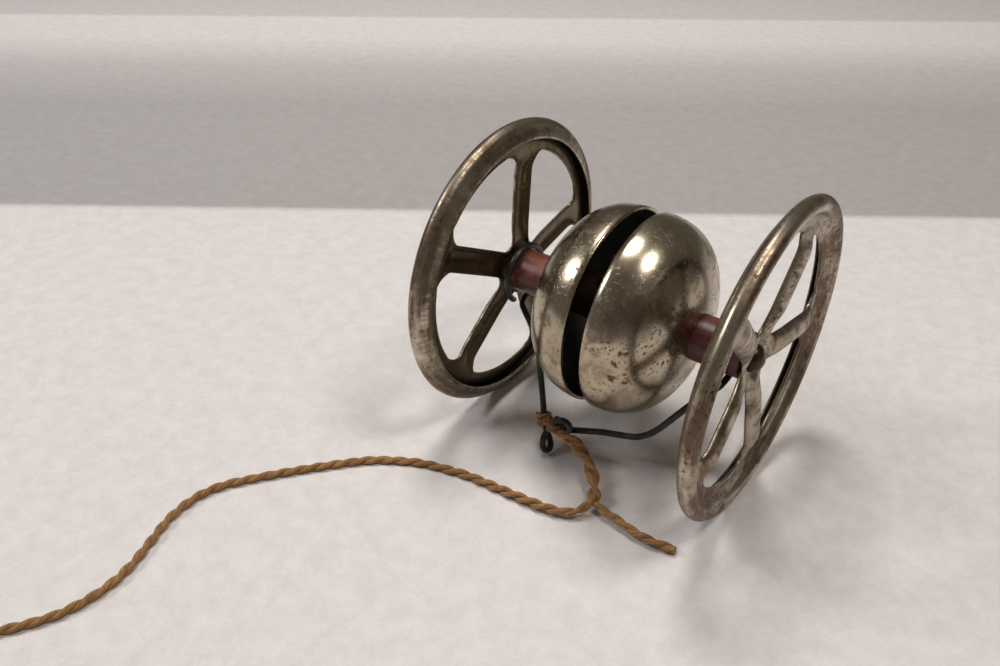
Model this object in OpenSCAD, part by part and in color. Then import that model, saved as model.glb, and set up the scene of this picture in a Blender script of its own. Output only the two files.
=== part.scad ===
// Revolving chime pull toy: two facing gongs on a turned axle between spoked wheels,
// loose strikers inside the gongs, and two wire arms tied to a twine pull cord.
// X runs along the axle, Z is up and -Y is the front. The origin is on the floor
// below the middle of the axle.

/* [Wheels] */
// Diameter over the tread
wheel_d = 101.6; // [84:0.2:122]
// Distance between the middles of the two treads
track = 94; // [84:0.5:114]
// Thickness of the sheet that the wheels are pressed from
wheel_sheet = 1; // [0.8:0.1:1.2]
// Radius of the rolled rim's outer edge
rim_roll_r = 2.7; // [2.4:0.1:3.2]
// How far the inner lip of the rim turns in towards the hub
lip_depth = 5; // [3.5:0.1:6]
// Width of the band between the tread and the windows
rim_band = 10.5; // [9.5:0.1:13]
// Width of each spoke
spoke_w = 9.4; // [7.8:0.1:11.4]
// Number of spokes
spokes = 5; // [5:1:6]
// How far the spokes are raised above the face
spoke_rise = 1.9; // [1.5:0.1:2.2]
// How far the hub is set in from the middle of the tread
hub_set_in = 2.9; // [2:0.1:3.5]
// Angle of a spoke of the left wheel, from level at the back
left_turn = 8; // [0:1:71]
// Angle of a spoke of the right wheel, from level at the back
right_turn = -8; // [-71:1:0]

/* [Axle] */
// Diameter of the turned wooden axle
axle_d = 15; // [12.5:0.1:18]
// Diameter of the nail heads in the hubs
nail_head_d = 9; // [8:0.1:10]
// Height of the nail heads
nail_head_h = 3.8; // [3:0.1:4.2]
// Diameter of the nails' shanks
nail_d = 2.6; // [2:0.1:3.2]
// Length of the nails' shanks
nail_l = 24; // [18:1:30]

/* [Gongs] */
// Diameter of each gong at its mouth
gong_d = 66; // [55:0.5:80]
// Depth of each gong from mouth to crown
gong_depth = 22.8; // [19:0.1:27.4]
// Gap between the two mouths
mouth_gap = 6.4; // [6:0.1:8]
// Wall of the gongs
gong_wall = 1.2; // [1:0.1:1.5]
// Squareness of the dome: 2 is an ellipse, more is fuller
dome_fullness = 2.36; // [2:0.02:2.6]

/* [Strikers] */
// Length of the wooden collar on the axle
collar_l = 6; // [5.5:0.1:7]
// Thickness of the collar's wall
collar_wall = 2.95; // [2.5:0.05:3.5]
// Least distance of the rivets from the collar's face
rivet_out = 4; // [3.5:0.1:4.5]
// Diameter of the rivets
rivet_d = 2.4; // [2:0.1:2.6]
// Sheet of the two star plates
plate_sheet = 1; // [0.8:0.1:1.2]
// Diameter of the striker heads
head_d = 7; // [5.8:0.1:8.4]
// Length of the striker heads
head_l = 14; // [12:0.2:15]
// Width of the striker arms
arm_w = 3; // [2.6:0.1:3.2]
// Thickness of the striker arms
arm_t = 2.4; // [2:0.1:2.6]

/* [Pull arms] */
// Diameter of the iron wire
wire_d = 2.2; // [1.8:0.1:2.6]
// Room all round between the axle and the eyes of the wires
eye_room = 1.5; // [1:0.1:2.5]

/* [Cord] */
// Diameter of the twine
twine_d = 2.6; // [2.2:0.1:3]

/* [Hidden] */
$fn = 64;

fit = 0.05;        // radial play of a fitted or running joint
gap = 0.3;         // room between parts that pass each other
eps = 0.5;         // how far a cutter runs past the face that it cuts

wheel_r = wheel_d / 2;
axle_r = axle_d / 2;
axle_z = wheel_r;
mid_x = track / 2;

// Wheel profile, in the plane of the axle: x is outward from the middle of the tread
roll_y = wheel_r - rim_roll_r;
roll_in_a = 150;
roll_out_a = -60;
fillet_r = 3.5;
fillet_x = (rim_roll_r + fillet_r) * cos(roll_out_a);
fillet_y = roll_y + (rim_roll_r + fillet_r) * sin(roll_out_a);
face_x = fillet_x - fillet_r;
window_r = wheel_r - rim_band;
lip_lean = 27;
hub_r = 9;
hub_bend = 0.4;
seat_r = nail_head_d / 2 + 0.6;
seat_bend = 0.6;
seat_in = hub_set_in + 1.1;
hub_back = seat_in + wheel_sheet;
hub_bore_r = nail_d / 2 + 0.2;
face_lean = atan2(hub_set_in + face_x, fillet_y - hub_r);

// Spokes: each is an arched strip, a slice of a pipe that lies along the face
spoke_pipe_r = (pow(spoke_w / 2 - 0.3, 2) + pow(spoke_rise, 2)) / (2 * spoke_rise);
window_corner_r = 4.5;
window_tip_r = 3;

axle_half = mid_x - hub_back;
nail_tip = axle_half - nail_l;

// Gongs
gong_r = gong_d / 2;
mouth_x = mouth_gap / 2;

// Strikers: each swings on a rivet between the star plates, on one side of its arm of the star
collar_r = axle_r + collar_wall;
rivet_r = rivet_d / 2;
head_r = head_d / 2;
strike_r = dome_r(gong_r - gong_wall, gong_depth - gong_wall, head_l / 2 - mouth_x) - gap - head_r;
// The rivets lie clear of the collar, and so far out that the strikers lean at least this much at the gongs
least_lean = 30;
pivot_r = max(collar_r + rivet_out, strike_r / (2 * cos(least_lean / 2)));
boss_r = rivet_r + 1.7;
stem_r = 1.4;
neck_half = arm_t / 2 + 0.1;
brad_r = 0.8;
brad_a = -60;
fold_r = collar_r + gap + head_r;
// Angle of a striker from its arm of the star, for a given distance of its head from the axle
function swing(r) = acos(r * r / (2 * pivot_r * pivot_r) - 1);
swing_out = swing(strike_r);
swing_in = swing(fold_r);
// Rest: the lowest striker leans on the gongs, and the two upper ones lie on the collar
star_a = [-90, 30, 150];
rest_swing = [swing_out, swing_in, swing_in];

// Pull wires
cord_r = twine_d / 2;
wire_r = wire_d / 2;
eye_r = axle_r + eye_room + wire_r;
eye_z = axle_z - (eye_room - 0.15);
eye_x = axle_half - wire_r - 0.5;
right_eye_in = 4;      // the right arm's eye rides this much further from its hub
eye_end_a = 235;
eye_steps = 22;

// Routes are drawn for wheels of drawn_wheel_r, with the eyes' feet at drawn_foot. They rise and sink with
// the wheels, and each arm follows its own eye, less and less towards its tip
drawn_wheel_r = 50.8;
drawn_foot = [40.4, 0, 39.35];
drawn_floor = 1.4;
foot = [eye_x, 0, eye_z - eye_r];

function lifted(p) = [p[0], p[1], cord_r + 0.1 + (p[2] - drawn_floor) * wheel_r / drawn_wheel_r];
function led(route, side) = let (last = len(route) - 1, move = foot - lifted(drawn_foot))
    [for (i = [0 : last]) lifted(route[i]) + (1 - i / last) * [side * move[0], move[1], move[2]]];

// Routes of the arms from the foot of each eye forward, then each tip's small loop
left_arm = led([
    [-39.6, -2.6, 38.4], [-36.4, -4.2, 36], [-31.5, -6, 32], [-28, -8.5, 28.5], [-24.5, -12.5, 25],
    [-22, -15, 21.5], [-19.5, -17.5, 17.5], [-17.5, -19.5, 13.5], [-16, -21, 10.5]
], -1);
right_arm = led([
    [35.9, -2.8, 38.2], [33.6, -6.5, 36.2], [30, -9.5, 32], [25.8, -12, 25.8], [21.2, -13, 19],
    [16.2, -14, 14.6], [10, -15, 12.8], [4.6, -16.6, 12.2], [-1, -19.2, 11.6], [-5, -21.4, 11.4]
], 1);
left_knot = left_arm[len(left_arm) - 1];
// Left tip: a narrow loop, given by its distance down, to the right and forward
loop_down = [0.42, -0.42, -0.805];
loop_side = unit([0.79, 0.61, 0] - ([0.79, 0.61, 0] * unit(loop_down)) * unit(loop_down));
loop_front = cross(unit(loop_down), loop_side);
left_loop = [
    [3.5, 0.2, -0.4], [6.3, 1.1, -0.8], [9, 1.5, -0.6], [10.7, 0.7, 0.2], [10.6, -0.9, 0.9],
    [8.6, -1.4, 1.4], [5.8, -0.6, 1.9], [4.2, 0.6, 2.3]
];
left_tip = [for (p = left_loop)
    left_knot + p[0] * unit(loop_down) + p[1] * loop_side + p[2] * loop_front];
// Right tip: an upright eye, turned back on the wire and a little to the front of it
tip_eye_r = 2.4;
tip_eye_mid = lifted([-7.4, -22.6, 13.8]);
tip_eye_along = unit([-0.88, -0.47, 0]);
tip_eye_side = 2.5;
right_tip = [for (a = [-60 : 30 : 210])
    tip_eye_mid + tip_eye_r * (cos(a) * tip_eye_along + [0, 0, sin(a)])
        + (a + 60) / 270 * tip_eye_side * [0.47, -0.88, 0]
];

// Lashings, on the left wire above its loop and on the far side of the right wire's eye
right_knot = lifted([-9.4, -23.8, 12.8]);
left_knot_lies = unit([0.45, -0.4, -0.8]);
knot_r = 3.1;
knot_l = 5.2;

// Cord: from the right lashing to the floor, over the floor and into a coil
pull_route = [for (p = [
    [-6.6, -25.4, 10.6], [-3, -25.6, 9.6], [1.4, -26, 7.4], [5.4, -28, 5.4], [9, -31.2, 4],
    [11.8, -35, 3.2], [13.2, -39.4, 2.8], [11.6, -43.6, 2.6], [7, -46.6, 2.4], [1, -48.2, 2.2],
    [-6, -49, 1.8],
    [-14, -49.8, 1.4], [-24, -51, 1.4], [-32, -53, 1.4], [-41, -56, 1.4], [-49, -60.4, 1.4],
    [-57, -66.4, 1.4], [-67, -77.6, 1.4], [-76, -88.8, 1.4], [-82, -97, 1.4], [-86.4, -104, 1.4],
    [-88.6, -112, 1.4], [-87.8, -122, 1.4], [-84, -132, 1.4], [-80.6, -141, 1.4],
    [-79.4, -151, 1.4], [-82, -163, 1.4], [-90, -176, 1.4],
    [-99, -188, 1.4], [-106, -198, 1.4]
]) lifted(p)];
tail_route = [for (p = [
    [-5.5, -22.9, 11.2], [-0.6, -22.8, 9.4], [3.4, -23.6, 7.2], [7.6, -26, 5.2], [11.6, -29.6, 4],
    [15, -33.6, 3.2], [19.4, -36.6, 2.8], [25, -38.6, 2.8], [31, -39.8, 2.8], [37, -39.4, 2.2],
    [44, -37.6, 1.4]
]) lifted(p)];
coil_mid = [-91, -207];
coil_in_r = 10.7;
coil_out_r = 18.5;
coil_h = 7.2;
end_knot_at = [-76.6, -204, 7.4];
end_knot_r = 2.8;

function unit(v) = v / norm(v);
function arc(x, y, r, a0, a1, n = 10) = [for (i = [0 : n]) let (a = a0 + (a1 - a0) * i / n)
    [x + r * cos(a), y + r * sin(a)]];
function dome_r(r, h, x) = r * pow(1 - pow(x / h, dome_fullness), 1 / dome_fullness);
// Half outline of a dome from its rim up to radius r0, as [radius, height] points
function dome(r, h, r0, n = 16) = let (a1 = acos(pow(r0 / r, dome_fullness / 2)), p = 2 / dome_fullness)
    [for (i = [0 : n]) [r * pow(cos(a1 * i / n), p), h * pow(sin(a1 * i / n), p)]];
function ends(p, i) = p[max(0, min(len(p) - 1, i))];
// A smooth curve through the points of a route, n steps from each to the next
function smooth(p, n) = concat([for (i = [0 : len(p) - 2], k = [0 : n - 1])
    let (t = k / n, a = ends(p, i - 1), b = p[i], c = p[i + 1], d = ends(p, i + 2))
    b + 0.5 * t * (c - a + t * (2 * a - 5 * b + 4 * c - d + t * (3 * b - a - 3 * c + d)))], [p[len(p) - 1]]);
function headings(p) = [for (i = [0 : len(p) - 1]) unit(ends(p, i + 1) - ends(p, i - 1))];
function carried(t, side, i = 0) = i == len(t) ? []
    : let (s = unit(side - (side * t[i]) * t[i])) concat([s], carried(t, s, i + 1));

// A round tube along a list of points
module tube(p, r, sides = 8) {
    t = headings(p);
    s = carried(t, abs(t[0][2]) > 0.9 ? [1, 0, 0] : [0, 0, 1]);
    last = len(p) - 1;
    polyhedron(
        points = [for (i = [0 : last], k = [0 : sides - 1]) let (a = 360 * k / sides)
            p[i] + r * (cos(a) * s[i] + sin(a) * cross(t[i], s[i]))],
        faces = concat(
            [[for (k = [0 : sides - 1]) k]],
            [[for (k = [sides - 1 : -1 : 0]) last * sides + k]],
            [for (i = [0 : last - 1], k = [0 : sides - 1], half = [0, 1])
                let (a = i * sides + k, b = i * sides + (k + 1) % sides)
                half == 0 ? [a, a + sides, b + sides] : [a, b + sides, b]]
        )
    );
}

// Stands a shape that was drawn about Z along the axle: its top faces right for side 1, left for side -1
module on_axle(side) {
    translate([0, 0, axle_z]) rotate([0, 90 * side, 0]) children();
}

module wheel_profile() {
    lip = [roll_y + rim_roll_r * sin(roll_in_a), rim_roll_r * cos(roll_in_a)];
    lip_end = [lip[0] - lip_depth * cos(lip_lean), lip[1] - lip_depth * sin(lip_lean)];
    inner_r = rim_roll_r - wheel_sheet;
    outer_fillet_r = fillet_r + wheel_sheet;
    lip_in = [lip_end[0] - wheel_sheet * sin(lip_lean), lip_end[1] + wheel_sheet * cos(lip_lean)];
    outside = concat(
        [lip_end],
        [for (q = arc(0, roll_y, rim_roll_r, roll_in_a, roll_out_a, 16)) [q[1], q[0]]],
        [for (q = arc(fillet_x, fillet_y, fillet_r, 120, 180, 6)) [q[1], q[0]]],
        [[hub_r, -hub_set_in], [seat_r, -seat_in], [hub_bore_r, -seat_in]]
    );
    inside = concat(
        [[hub_bore_r, -hub_back], [seat_r + seat_bend, -hub_back]],
        [[hub_r + hub_bend, -hub_set_in - wheel_sheet]],
        [for (q = arc(fillet_x, fillet_y, outer_fillet_r, 180, 120, 6)) [q[1], q[0]]],
        [for (q = arc(0, roll_y, inner_r, roll_out_a, roll_in_a, 14)) [q[1], q[0]]],
        [lip_in]
    );
    polygon(concat(outside, inside));
}

module wheel_window() {
    half = 180 / spokes;
    along = [cos(half), sin(half)];
    off = [sin(half), -cos(half)];
    edge = spoke_w / 2;
    reach = sqrt(pow(window_r - window_corner_r, 2) - pow(edge + window_corner_r, 2));
    corner = reach * along + (edge + window_corner_r) * off;
    corner_a = atan2(corner[1], corner[0]);
    tip_x = (edge + window_tip_r) / sin(half);
    upper = concat(
        arc(0, 0, window_r, 0, corner_a, 5),
        arc(corner[0], corner[1], window_corner_r, corner_a, 90 + half, 6),
        arc(tip_x, 0, window_tip_r, 90 + half, 180, 5)
    );
    lower = [for (i = [len(upper) - 2 : -1 : 1]) [upper[i][0], -upper[i][1]]];
    translate([0, 0, -hub_back - eps]) linear_extrude(hub_back + rim_roll_r + 2 * eps)
        polygon(concat(upper, lower));
}

// The bulge of one spoke, along X: a slice of a pipe that lies along the sloping face
module spoke_pipe(r, from, to) {
    translate([hub_r, 0, -hub_set_in]) rotate([0, -face_lean, 0])
        translate([from - hub_r, 0, spoke_rise - spoke_pipe_r]) rotate([0, 90, 0])
            cylinder(r = r, h = to - from);
}

module wheel(side, turn) {
    rib_from = seat_r + 3;
    rib_to = window_r + 1.5;
    rib_half = spoke_w / 2 - 0.35;
    floor_z = -hub_set_in - 0.5;
    translate([side * mid_x, 0, axle_z]) rotate([turn + 90 * side, 0, 0]) rotate([0, 90 * side, 0])
        difference() {
            union() {
                rotate_extrude() wheel_profile();
                for (i = [0 : spokes - 1]) rotate([0, 0, 360 / spokes * i]) intersection() {
                    spoke_pipe(spoke_pipe_r, rib_from, rib_to);
                    translate([0, -rib_half, floor_z]) cube([wheel_r, 2 * rib_half, wheel_r]);
                }
            }
            for (i = [0 : spokes - 1]) rotate([0, 0, 360 / spokes * (i + 0.5)]) wheel_window();
            for (i = [0 : spokes - 1]) rotate([0, 0, 360 / spokes * i])
                spoke_pipe(spoke_pipe_r - wheel_sheet, rib_from + 3, rib_to - 3);
        }
}

module hub_nail(side) {
    on_axle(side) translate([0, 0, mid_x - seat_in]) {
        cap_r = (pow(nail_head_d / 2, 2) + pow(nail_head_h, 2)) / (2 * nail_head_h);
        intersection() {
            translate([0, 0, nail_head_h - cap_r]) sphere(r = cap_r);
            cylinder(r = nail_head_d, h = nail_head_h + 1);
        }
        translate([0, 0, -wheel_sheet - nail_l + 2]) cylinder(r = nail_d / 2, h = nail_l + wheel_sheet - 1.5);
        translate([0, 0, -wheel_sheet - nail_l]) cylinder(r1 = 0.3, r2 = nail_d / 2, h = 2);
    }
}

module gong(side) {
    hole_r = axle_r + fit;
    inner = dome(gong_r - gong_wall, gong_depth - gong_wall, hole_r);
    on_axle(side) translate([0, 0, mouth_x]) rotate_extrude() polygon(concat(
        dome(gong_r, gong_depth, hole_r), [for (i = [len(inner) - 1 : -1 : 0]) inner[i]]
    ));
}

module star_plate(side) {
    on_axle(side) translate([0, 0, collar_l / 2]) linear_extrude(plate_sheet) difference() {
        union() {
            circle(r = collar_r - 0.2);
            for (a = star_a) rotate(90 + side * a) {
                translate([0, -boss_r]) square([pivot_r, 2 * boss_r]);
                translate([pivot_r, 0]) circle(r = boss_r + 0.3);
            }
        }
        circle(r = axle_r + fit);
        for (a = star_a) rotate(90 + side * a) translate([pivot_r, 0]) circle(r = rivet_r + fit);
    }
}

// Puts a shape drawn about Z at a rivet, with Z along the axle
module at_pivot(i) {
    translate([0, pivot_r * cos(star_a[i]), axle_z + pivot_r * sin(star_a[i])])
        rotate([star_a[i] - rest_swing[i], 0, 0]) rotate([0, 90, 0]) rotate([0, 0, 90]) children();
}

module star_rivet(i) {
    half = collar_l / 2 + plate_sheet + 0.05;
    at_pivot(i) {
        translate([0, 0, -half]) cylinder(r = rivet_r, h = 2 * half);
        for (z = [-half - 0.8, half]) translate([0, 0, z]) cylinder(r = rivet_r + 0.8, h = 0.8);
    }
}

module striker_arm(i) {
    boss_half = collar_l / 2 - 0.2;
    at_pivot(i) difference() {
        union() {
            translate([0, 0, -boss_half]) cylinder(r = boss_r, h = 2 * boss_half);
            translate([0, -arm_w / 2, -arm_t / 2]) cube([pivot_r, arm_w, arm_t]);
            translate([pivot_r, 0, -arm_t / 2]) cylinder(r = stem_r + 1, h = arm_t);
        }
        translate([0, 0, -boss_half - eps]) cylinder(r = rivet_r + fit, h = 2 * (boss_half + eps));
        translate([pivot_r, 0, -arm_t]) cylinder(r = stem_r + fit, h = 2 * arm_t);
    }
}

module striker_head(i) {
    at_pivot(i) translate([pivot_r, 0, 0]) {
        translate([0, 0, -neck_half - eps]) cylinder(r = stem_r, h = 2 * (neck_half + eps));
        for (side = [0, 1]) mirror([0, 0, side]) translate([0, 0, neck_half]) {
            cylinder(r = head_r, h = head_l / 2 - neck_half - 1);
            translate([0, 0, head_l / 2 - neck_half - 1]) cylinder(r1 = head_r, r2 = head_r - 1, h = 1);
        }
    }
}

module collar_brad() {
    translate([0, 0, axle_z]) rotate([brad_a, 0, 0]) rotate([-90, 0, 0]) {
        translate([0, 0, 2]) cylinder(r = brad_r, h = collar_r - 2);
        translate([0, 0, collar_r]) cylinder(r = brad_r + 0.5, h = 0.25);
    }
}

module brad_hole() {
    translate([0, 0, axle_z]) rotate([brad_a, 0, 0]) rotate([-90, 0, 0])
        translate([0, 0, 1.5]) cylinder(r = brad_r + fit, h = collar_r);
}

module striker_collar() {
    difference() {
        on_axle(1) translate([0, 0, -collar_l / 2]) difference() {
            cylinder(r = collar_r, h = collar_l);
            translate([0, 0, -eps]) cylinder(r = axle_r + fit, h = collar_l + 2 * eps);
        }
        brad_hole();
    }
}

module axle() {
    chamfer = 0.6;
    difference() {
        union() {
            on_axle(1) translate([0, 0, chamfer - axle_half])
                cylinder(r = axle_r, h = 2 * (axle_half - chamfer));
            for (side = [1, -1]) on_axle(side) translate([0, 0, axle_half - chamfer])
                cylinder(r1 = axle_r, r2 = axle_r - chamfer, h = chamfer);
        }
        for (side = [1, -1]) on_axle(side) translate([0, 0, nail_tip - 1])
            cylinder(r = nail_d / 2 + fit, h = nail_l + 2);
        brad_hole();
    }
}

function eye_path(side) = [for (i = [0 : eye_steps]) let (a = eye_end_a - (eye_end_a + 90) * i / eye_steps)
    [side < 0 ? -eye_x : eye_x - right_eye_in, eye_r * cos(a), eye_z + eye_r * sin(a)]];

module left_pull_wire() {
    tube(concat(eye_path(-1), smooth(concat(left_arm, left_tip), 3)), wire_r, 10);
}

module right_pull_wire() {
    tube(concat(eye_path(1), smooth(concat(right_arm, right_tip), 3)), wire_r, 10);
}

// A barrel of wound twine about a line, bored for what it is tied on
module lashing(at, heading, bore_r) {
    translate(at) rotate([0, acos(heading[2]), atan2(heading[1], heading[0])]) rotate_extrude() polygon([
        [bore_r, -knot_l / 2], [knot_r - 0.9, -knot_l / 2], [knot_r, -knot_l / 4],
        [knot_r, knot_l / 4], [knot_r - 0.9, knot_l / 2], [bore_r, knot_l / 2]
    ]);
}

module lashing_link() {
    tube(smooth([left_knot + [2.6, -2, 0.4], [-11.6, -24, 10.6], right_knot + [-1.4, -2, -2.2]], 4), cord_r);
}

module pull_cord_coil() {
    out = coil_out_r - cord_r;
    in = coil_in_r + cord_r;
    top = coil_h - cord_r;
    translate([coil_mid[0], coil_mid[1], 0]) rotate_extrude() polygon(concat(
        arc(out, cord_r, cord_r, -90, 0, 4), arc(out, top, cord_r, 0, 90, 4),
        arc(in, top, cord_r, 90, 180, 4), arc(in, cord_r, cord_r, 180, 270, 4)
    ));
}

module nickel() { color([0.72, 0.69, 0.62]) children(); }
module dark_iron() { color([0.16, 0.16, 0.17]) children(); }
module twine() { color([0.7, 0.43, 0.2]) children(); }

nickel() wheel(-1, left_turn);  // left_wheel
nickel() wheel(1, right_turn);  // right_wheel
color([0.36, 0.13, 0.12]) axle();
color([0.2, 0.13, 0.1]) hub_nail(-1);  // left_hub_nail
color([0.2, 0.13, 0.1]) hub_nail(1);  // right_hub_nail
nickel() gong(-1);  // left_gong
nickel() gong(1);  // right_gong
color([0.6, 0.45, 0.28]) striker_collar();
dark_iron() collar_brad();
dark_iron() star_plate(-1);  // left_star_plate
dark_iron() star_plate(1);  // right_star_plate
dark_iron() star_rivet(0);  // star_rivet_1
dark_iron() star_rivet(1);  // star_rivet_2
dark_iron() star_rivet(2);  // star_rivet_3
dark_iron() striker_arm(0);  // striker_arm_1
dark_iron() striker_arm(1);  // striker_arm_2
dark_iron() striker_arm(2);  // striker_arm_3
dark_iron() striker_head(0);  // striker_head_1
dark_iron() striker_head(1);  // striker_head_2
dark_iron() striker_head(2);  // striker_head_3
dark_iron() left_pull_wire();
dark_iron() right_pull_wire();
twine() lashing(left_knot, left_knot_lies, wire_r + 0.2);  // left_lashing
twine() lashing(right_knot, [0, 0, 1], wire_r + 0.2);  // right_lashing
twine() lashing_link();
twine() tube(smooth(pull_route, 2), cord_r);  // pull_cord
twine() tube(tail_route, cord_r);  // cord_tail
twine() pull_cord_coil();
twine() translate(end_knot_at) sphere(r = end_knot_r);  // cord_end_knot
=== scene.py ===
# Revolving chime pull toy: two facing gongs on a red axle, five-spoked nickel wheels,
# two black wire arms and a twine cord. Metres; X runs along the axle, -Y is the front.
import math
import random

import bpy
import numpy as np
from mathutils import Matrix, Vector


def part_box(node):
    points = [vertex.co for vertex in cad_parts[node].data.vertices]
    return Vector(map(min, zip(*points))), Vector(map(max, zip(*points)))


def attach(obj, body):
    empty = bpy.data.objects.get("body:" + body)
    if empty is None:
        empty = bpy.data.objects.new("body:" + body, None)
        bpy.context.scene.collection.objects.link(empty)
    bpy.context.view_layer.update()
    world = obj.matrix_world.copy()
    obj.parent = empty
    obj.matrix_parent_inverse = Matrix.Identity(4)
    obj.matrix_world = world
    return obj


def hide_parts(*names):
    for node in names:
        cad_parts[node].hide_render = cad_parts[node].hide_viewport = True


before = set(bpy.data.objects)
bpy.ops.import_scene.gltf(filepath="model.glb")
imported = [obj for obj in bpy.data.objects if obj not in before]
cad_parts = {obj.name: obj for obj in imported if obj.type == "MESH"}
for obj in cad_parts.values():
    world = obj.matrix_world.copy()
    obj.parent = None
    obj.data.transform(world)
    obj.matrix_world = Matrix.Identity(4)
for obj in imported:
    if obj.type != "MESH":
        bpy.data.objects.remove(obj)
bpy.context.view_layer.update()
mm = 0.001
print("frame loaded:", len(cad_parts), "nodes")


def deselectAll():
    if bpy.context.mode != "OBJECT":
        bpy.ops.object.mode_set(mode="OBJECT")
    bpy.ops.object.select_all(action="DESELECT")


def takeUp(obj):
    deselectAll()
    obj.select_set(True)
    bpy.context.view_layer.objects.active = obj
    return obj


def named(name):
    obj = bpy.context.object
    obj.name = name
    obj.data.name = name
    return obj


def bakePlace(obj):
    takeUp(obj)
    bpy.ops.object.transform_apply(location=True, rotation=True, scale=True)


def applyModifiers(obj):
    takeUp(obj)
    for mod in list(obj.modifiers):
        bpy.ops.object.modifier_apply(modifier=mod.name)


def shadeRound(obj, angle=40):
    takeUp(obj)
    bpy.ops.object.shade_smooth_by_angle(angle=math.radians(angle))


def paint(obj, *materials):
    obj.data.materials.clear()
    for material in materials:
        obj.data.materials.append(material)


def middleOf(node):
    low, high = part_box(node)
    return (low + high) / 2


# a lathed piece about Z: a ring is added and extruded through (radius, height) steps
def turnedPiece(name, steps, segments, closed=True):
    deselectAll()
    bpy.ops.mesh.primitive_circle_add(vertices=segments, radius=steps[0][0], location=(0, 0, 0))
    obj = named(name)
    bpy.ops.object.mode_set(mode="EDIT")
    bpy.ops.mesh.select_all(action="SELECT")
    bpy.ops.transform.translate(value=(0, 0, steps[0][1]))
    for (rOld, zOld), (rNew, zNew) in zip(steps, steps[1:]):
        bpy.ops.mesh.extrude_edges_move()
        s = rNew / rOld
        bpy.ops.transform.resize(value=(s, s, 1), center_override=(0, 0, zOld))
        bpy.ops.transform.translate(value=(0, 0, zNew - zOld))
    if closed:
        bpy.ops.mesh.edge_face_add()
        bpy.ops.mesh.select_all(action="DESELECT")
        bpy.ops.mesh.select_non_manifold()
        bpy.ops.mesh.edge_face_add()
    else:
        bpy.ops.mesh.select_all(action="SELECT")
        bpy.ops.mesh.remove_doubles(threshold=1e-6)
    bpy.ops.mesh.select_all(action="SELECT")
    bpy.ops.mesh.normals_make_consistent(inside=False)
    bpy.ops.object.mode_set(mode="OBJECT")
    return obj


# stands a piece that was made about Z along the axle: its top faces right (1) or left (-1)
def alongAxle(obj, side, x, turn=0):
    place = Matrix.Translation((x, 0, axleZ))
    turned = Matrix.Rotation(math.radians(turn + 90 * side), 4, "X")
    turned = turned @ Matrix.Rotation(math.radians(90 * side), 4, "Y")
    obj.matrix_world = place @ turned
    bakePlace(obj)


def smoothLine(points, step):
    p = np.array(points, float)
    p = np.vstack([2 * p[0] - p[1], p, 2 * p[-1] - p[-2]])
    out = []
    for a, b, c, d in zip(p, p[1:], p[2:], p[3:]):
        n = max(2, int(np.linalg.norm(c - b) / step))
        for t in np.arange(n)[:, None] / n:
            cubic = t * (3 * b - a - 3 * c + d)
            out.append(b + 0.5 * t * (c - a + t * (2 * a - 5 * b + 4 * c - d + cubic)))
    out.append(p[-2])
    return np.array(out)


def evenLine(line, step):
    along = np.concatenate([[0], np.cumsum(np.linalg.norm(np.diff(line, axis=0), axis=1))])
    at = np.linspace(0, along[-1], max(3, int(along[-1] / step)))
    return np.stack([np.interp(at, along, line[:, k]) for k in range(3)], axis=1)


def lineLength(line):
    return float(np.linalg.norm(np.diff(line, axis=0), axis=1).sum())


# heading and two sides at each point of a line, carried along it without twist
def carriedFrames(line):
    heading = np.gradient(line, axis=0)
    heading /= np.linalg.norm(heading, axis=1)[:, None]
    side = np.array((0, 0, 1.0)) if abs(heading[0][2]) < 0.9 else np.array((1.0, 0, 0))
    sides = []
    for h in heading:
        side = side - (side @ h) * h
        side /= np.linalg.norm(side)
        sides.append(side)
    sides = np.array(sides)
    return heading, sides, np.cross(heading, sides)


# closed tubes swept along lines, in one mesh; u runs round each tube and v along it in metres
def sweptTubes(name, lines, radii, sides=10, startSides=None):
    verts, faces, uvs = [], [], []
    for number, (line, radius) in enumerate(zip(lines, radii)):
        if startSides is None:
            heading, s1, s2 = carriedFrames(line)
        else:
            heading, s1, s2 = startSides[number]
        radius = np.broadcast_to(radius, len(line))
        base = len(verts)
        along = np.concatenate([[0], np.cumsum(np.linalg.norm(np.diff(line, axis=0), axis=1))])
        for i, point in enumerate(line):
            for k in range(sides):
                a = 2 * math.pi * k / sides
                verts.append(point + radius[i] * (math.cos(a) * s1[i] + math.sin(a) * s2[i]))
        for i in range(len(line) - 1):
            for k in range(sides):
                n = (k + 1) % sides
                here, ahead = base + i * sides, base + (i + 1) * sides
                faces.append((here + k, here + n, ahead + n, ahead + k))
                u, uNext, v, vNext = k / sides, (k + 1) / sides, along[i], along[i + 1]
                uvs += [(u, v), (uNext, v), (uNext, vNext), (u, vNext)]
        for end, order in ((0, range(sides - 1, -1, -1)), (len(line) - 1, range(sides))):
            faces.append([base + end * sides + k for k in order])
            uvs += [(0.5, along[end])] * sides
    mesh = bpy.data.meshes.new(name)
    mesh.from_pydata([tuple(v) for v in verts], [], faces)
    layer = mesh.uv_layers.new(name="UVMap")
    layer.data.foreach_set("uv", np.array(uvs, np.float32).ravel())
    obj = bpy.data.objects.new(name, mesh)
    bpy.context.scene.collection.objects.link(obj)
    takeUp(obj)
    bpy.ops.object.shade_smooth()
    return obj


cameraSpec = {"place": (0.10399, -0.2025, 0.19935), "azimuth": 37.466, "elevation": 35.211, "lens": 30.08}

cameraData = bpy.data.cameras.new("camera")
cameraData.lens = cameraSpec["lens"]
cameraData.sensor_width = 36
cameraData.clip_start, cameraData.clip_end = 0.01, 20
camera = bpy.data.objects.new("camera", cameraData)
camera.location = cameraSpec["place"]
camera.rotation_euler = (math.radians(90 - cameraSpec["elevation"]), 0, math.radians(cameraSpec["azimuth"]))
bpy.context.scene.collection.objects.link(camera)
bpy.context.scene.camera = camera
print("camera set")


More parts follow.
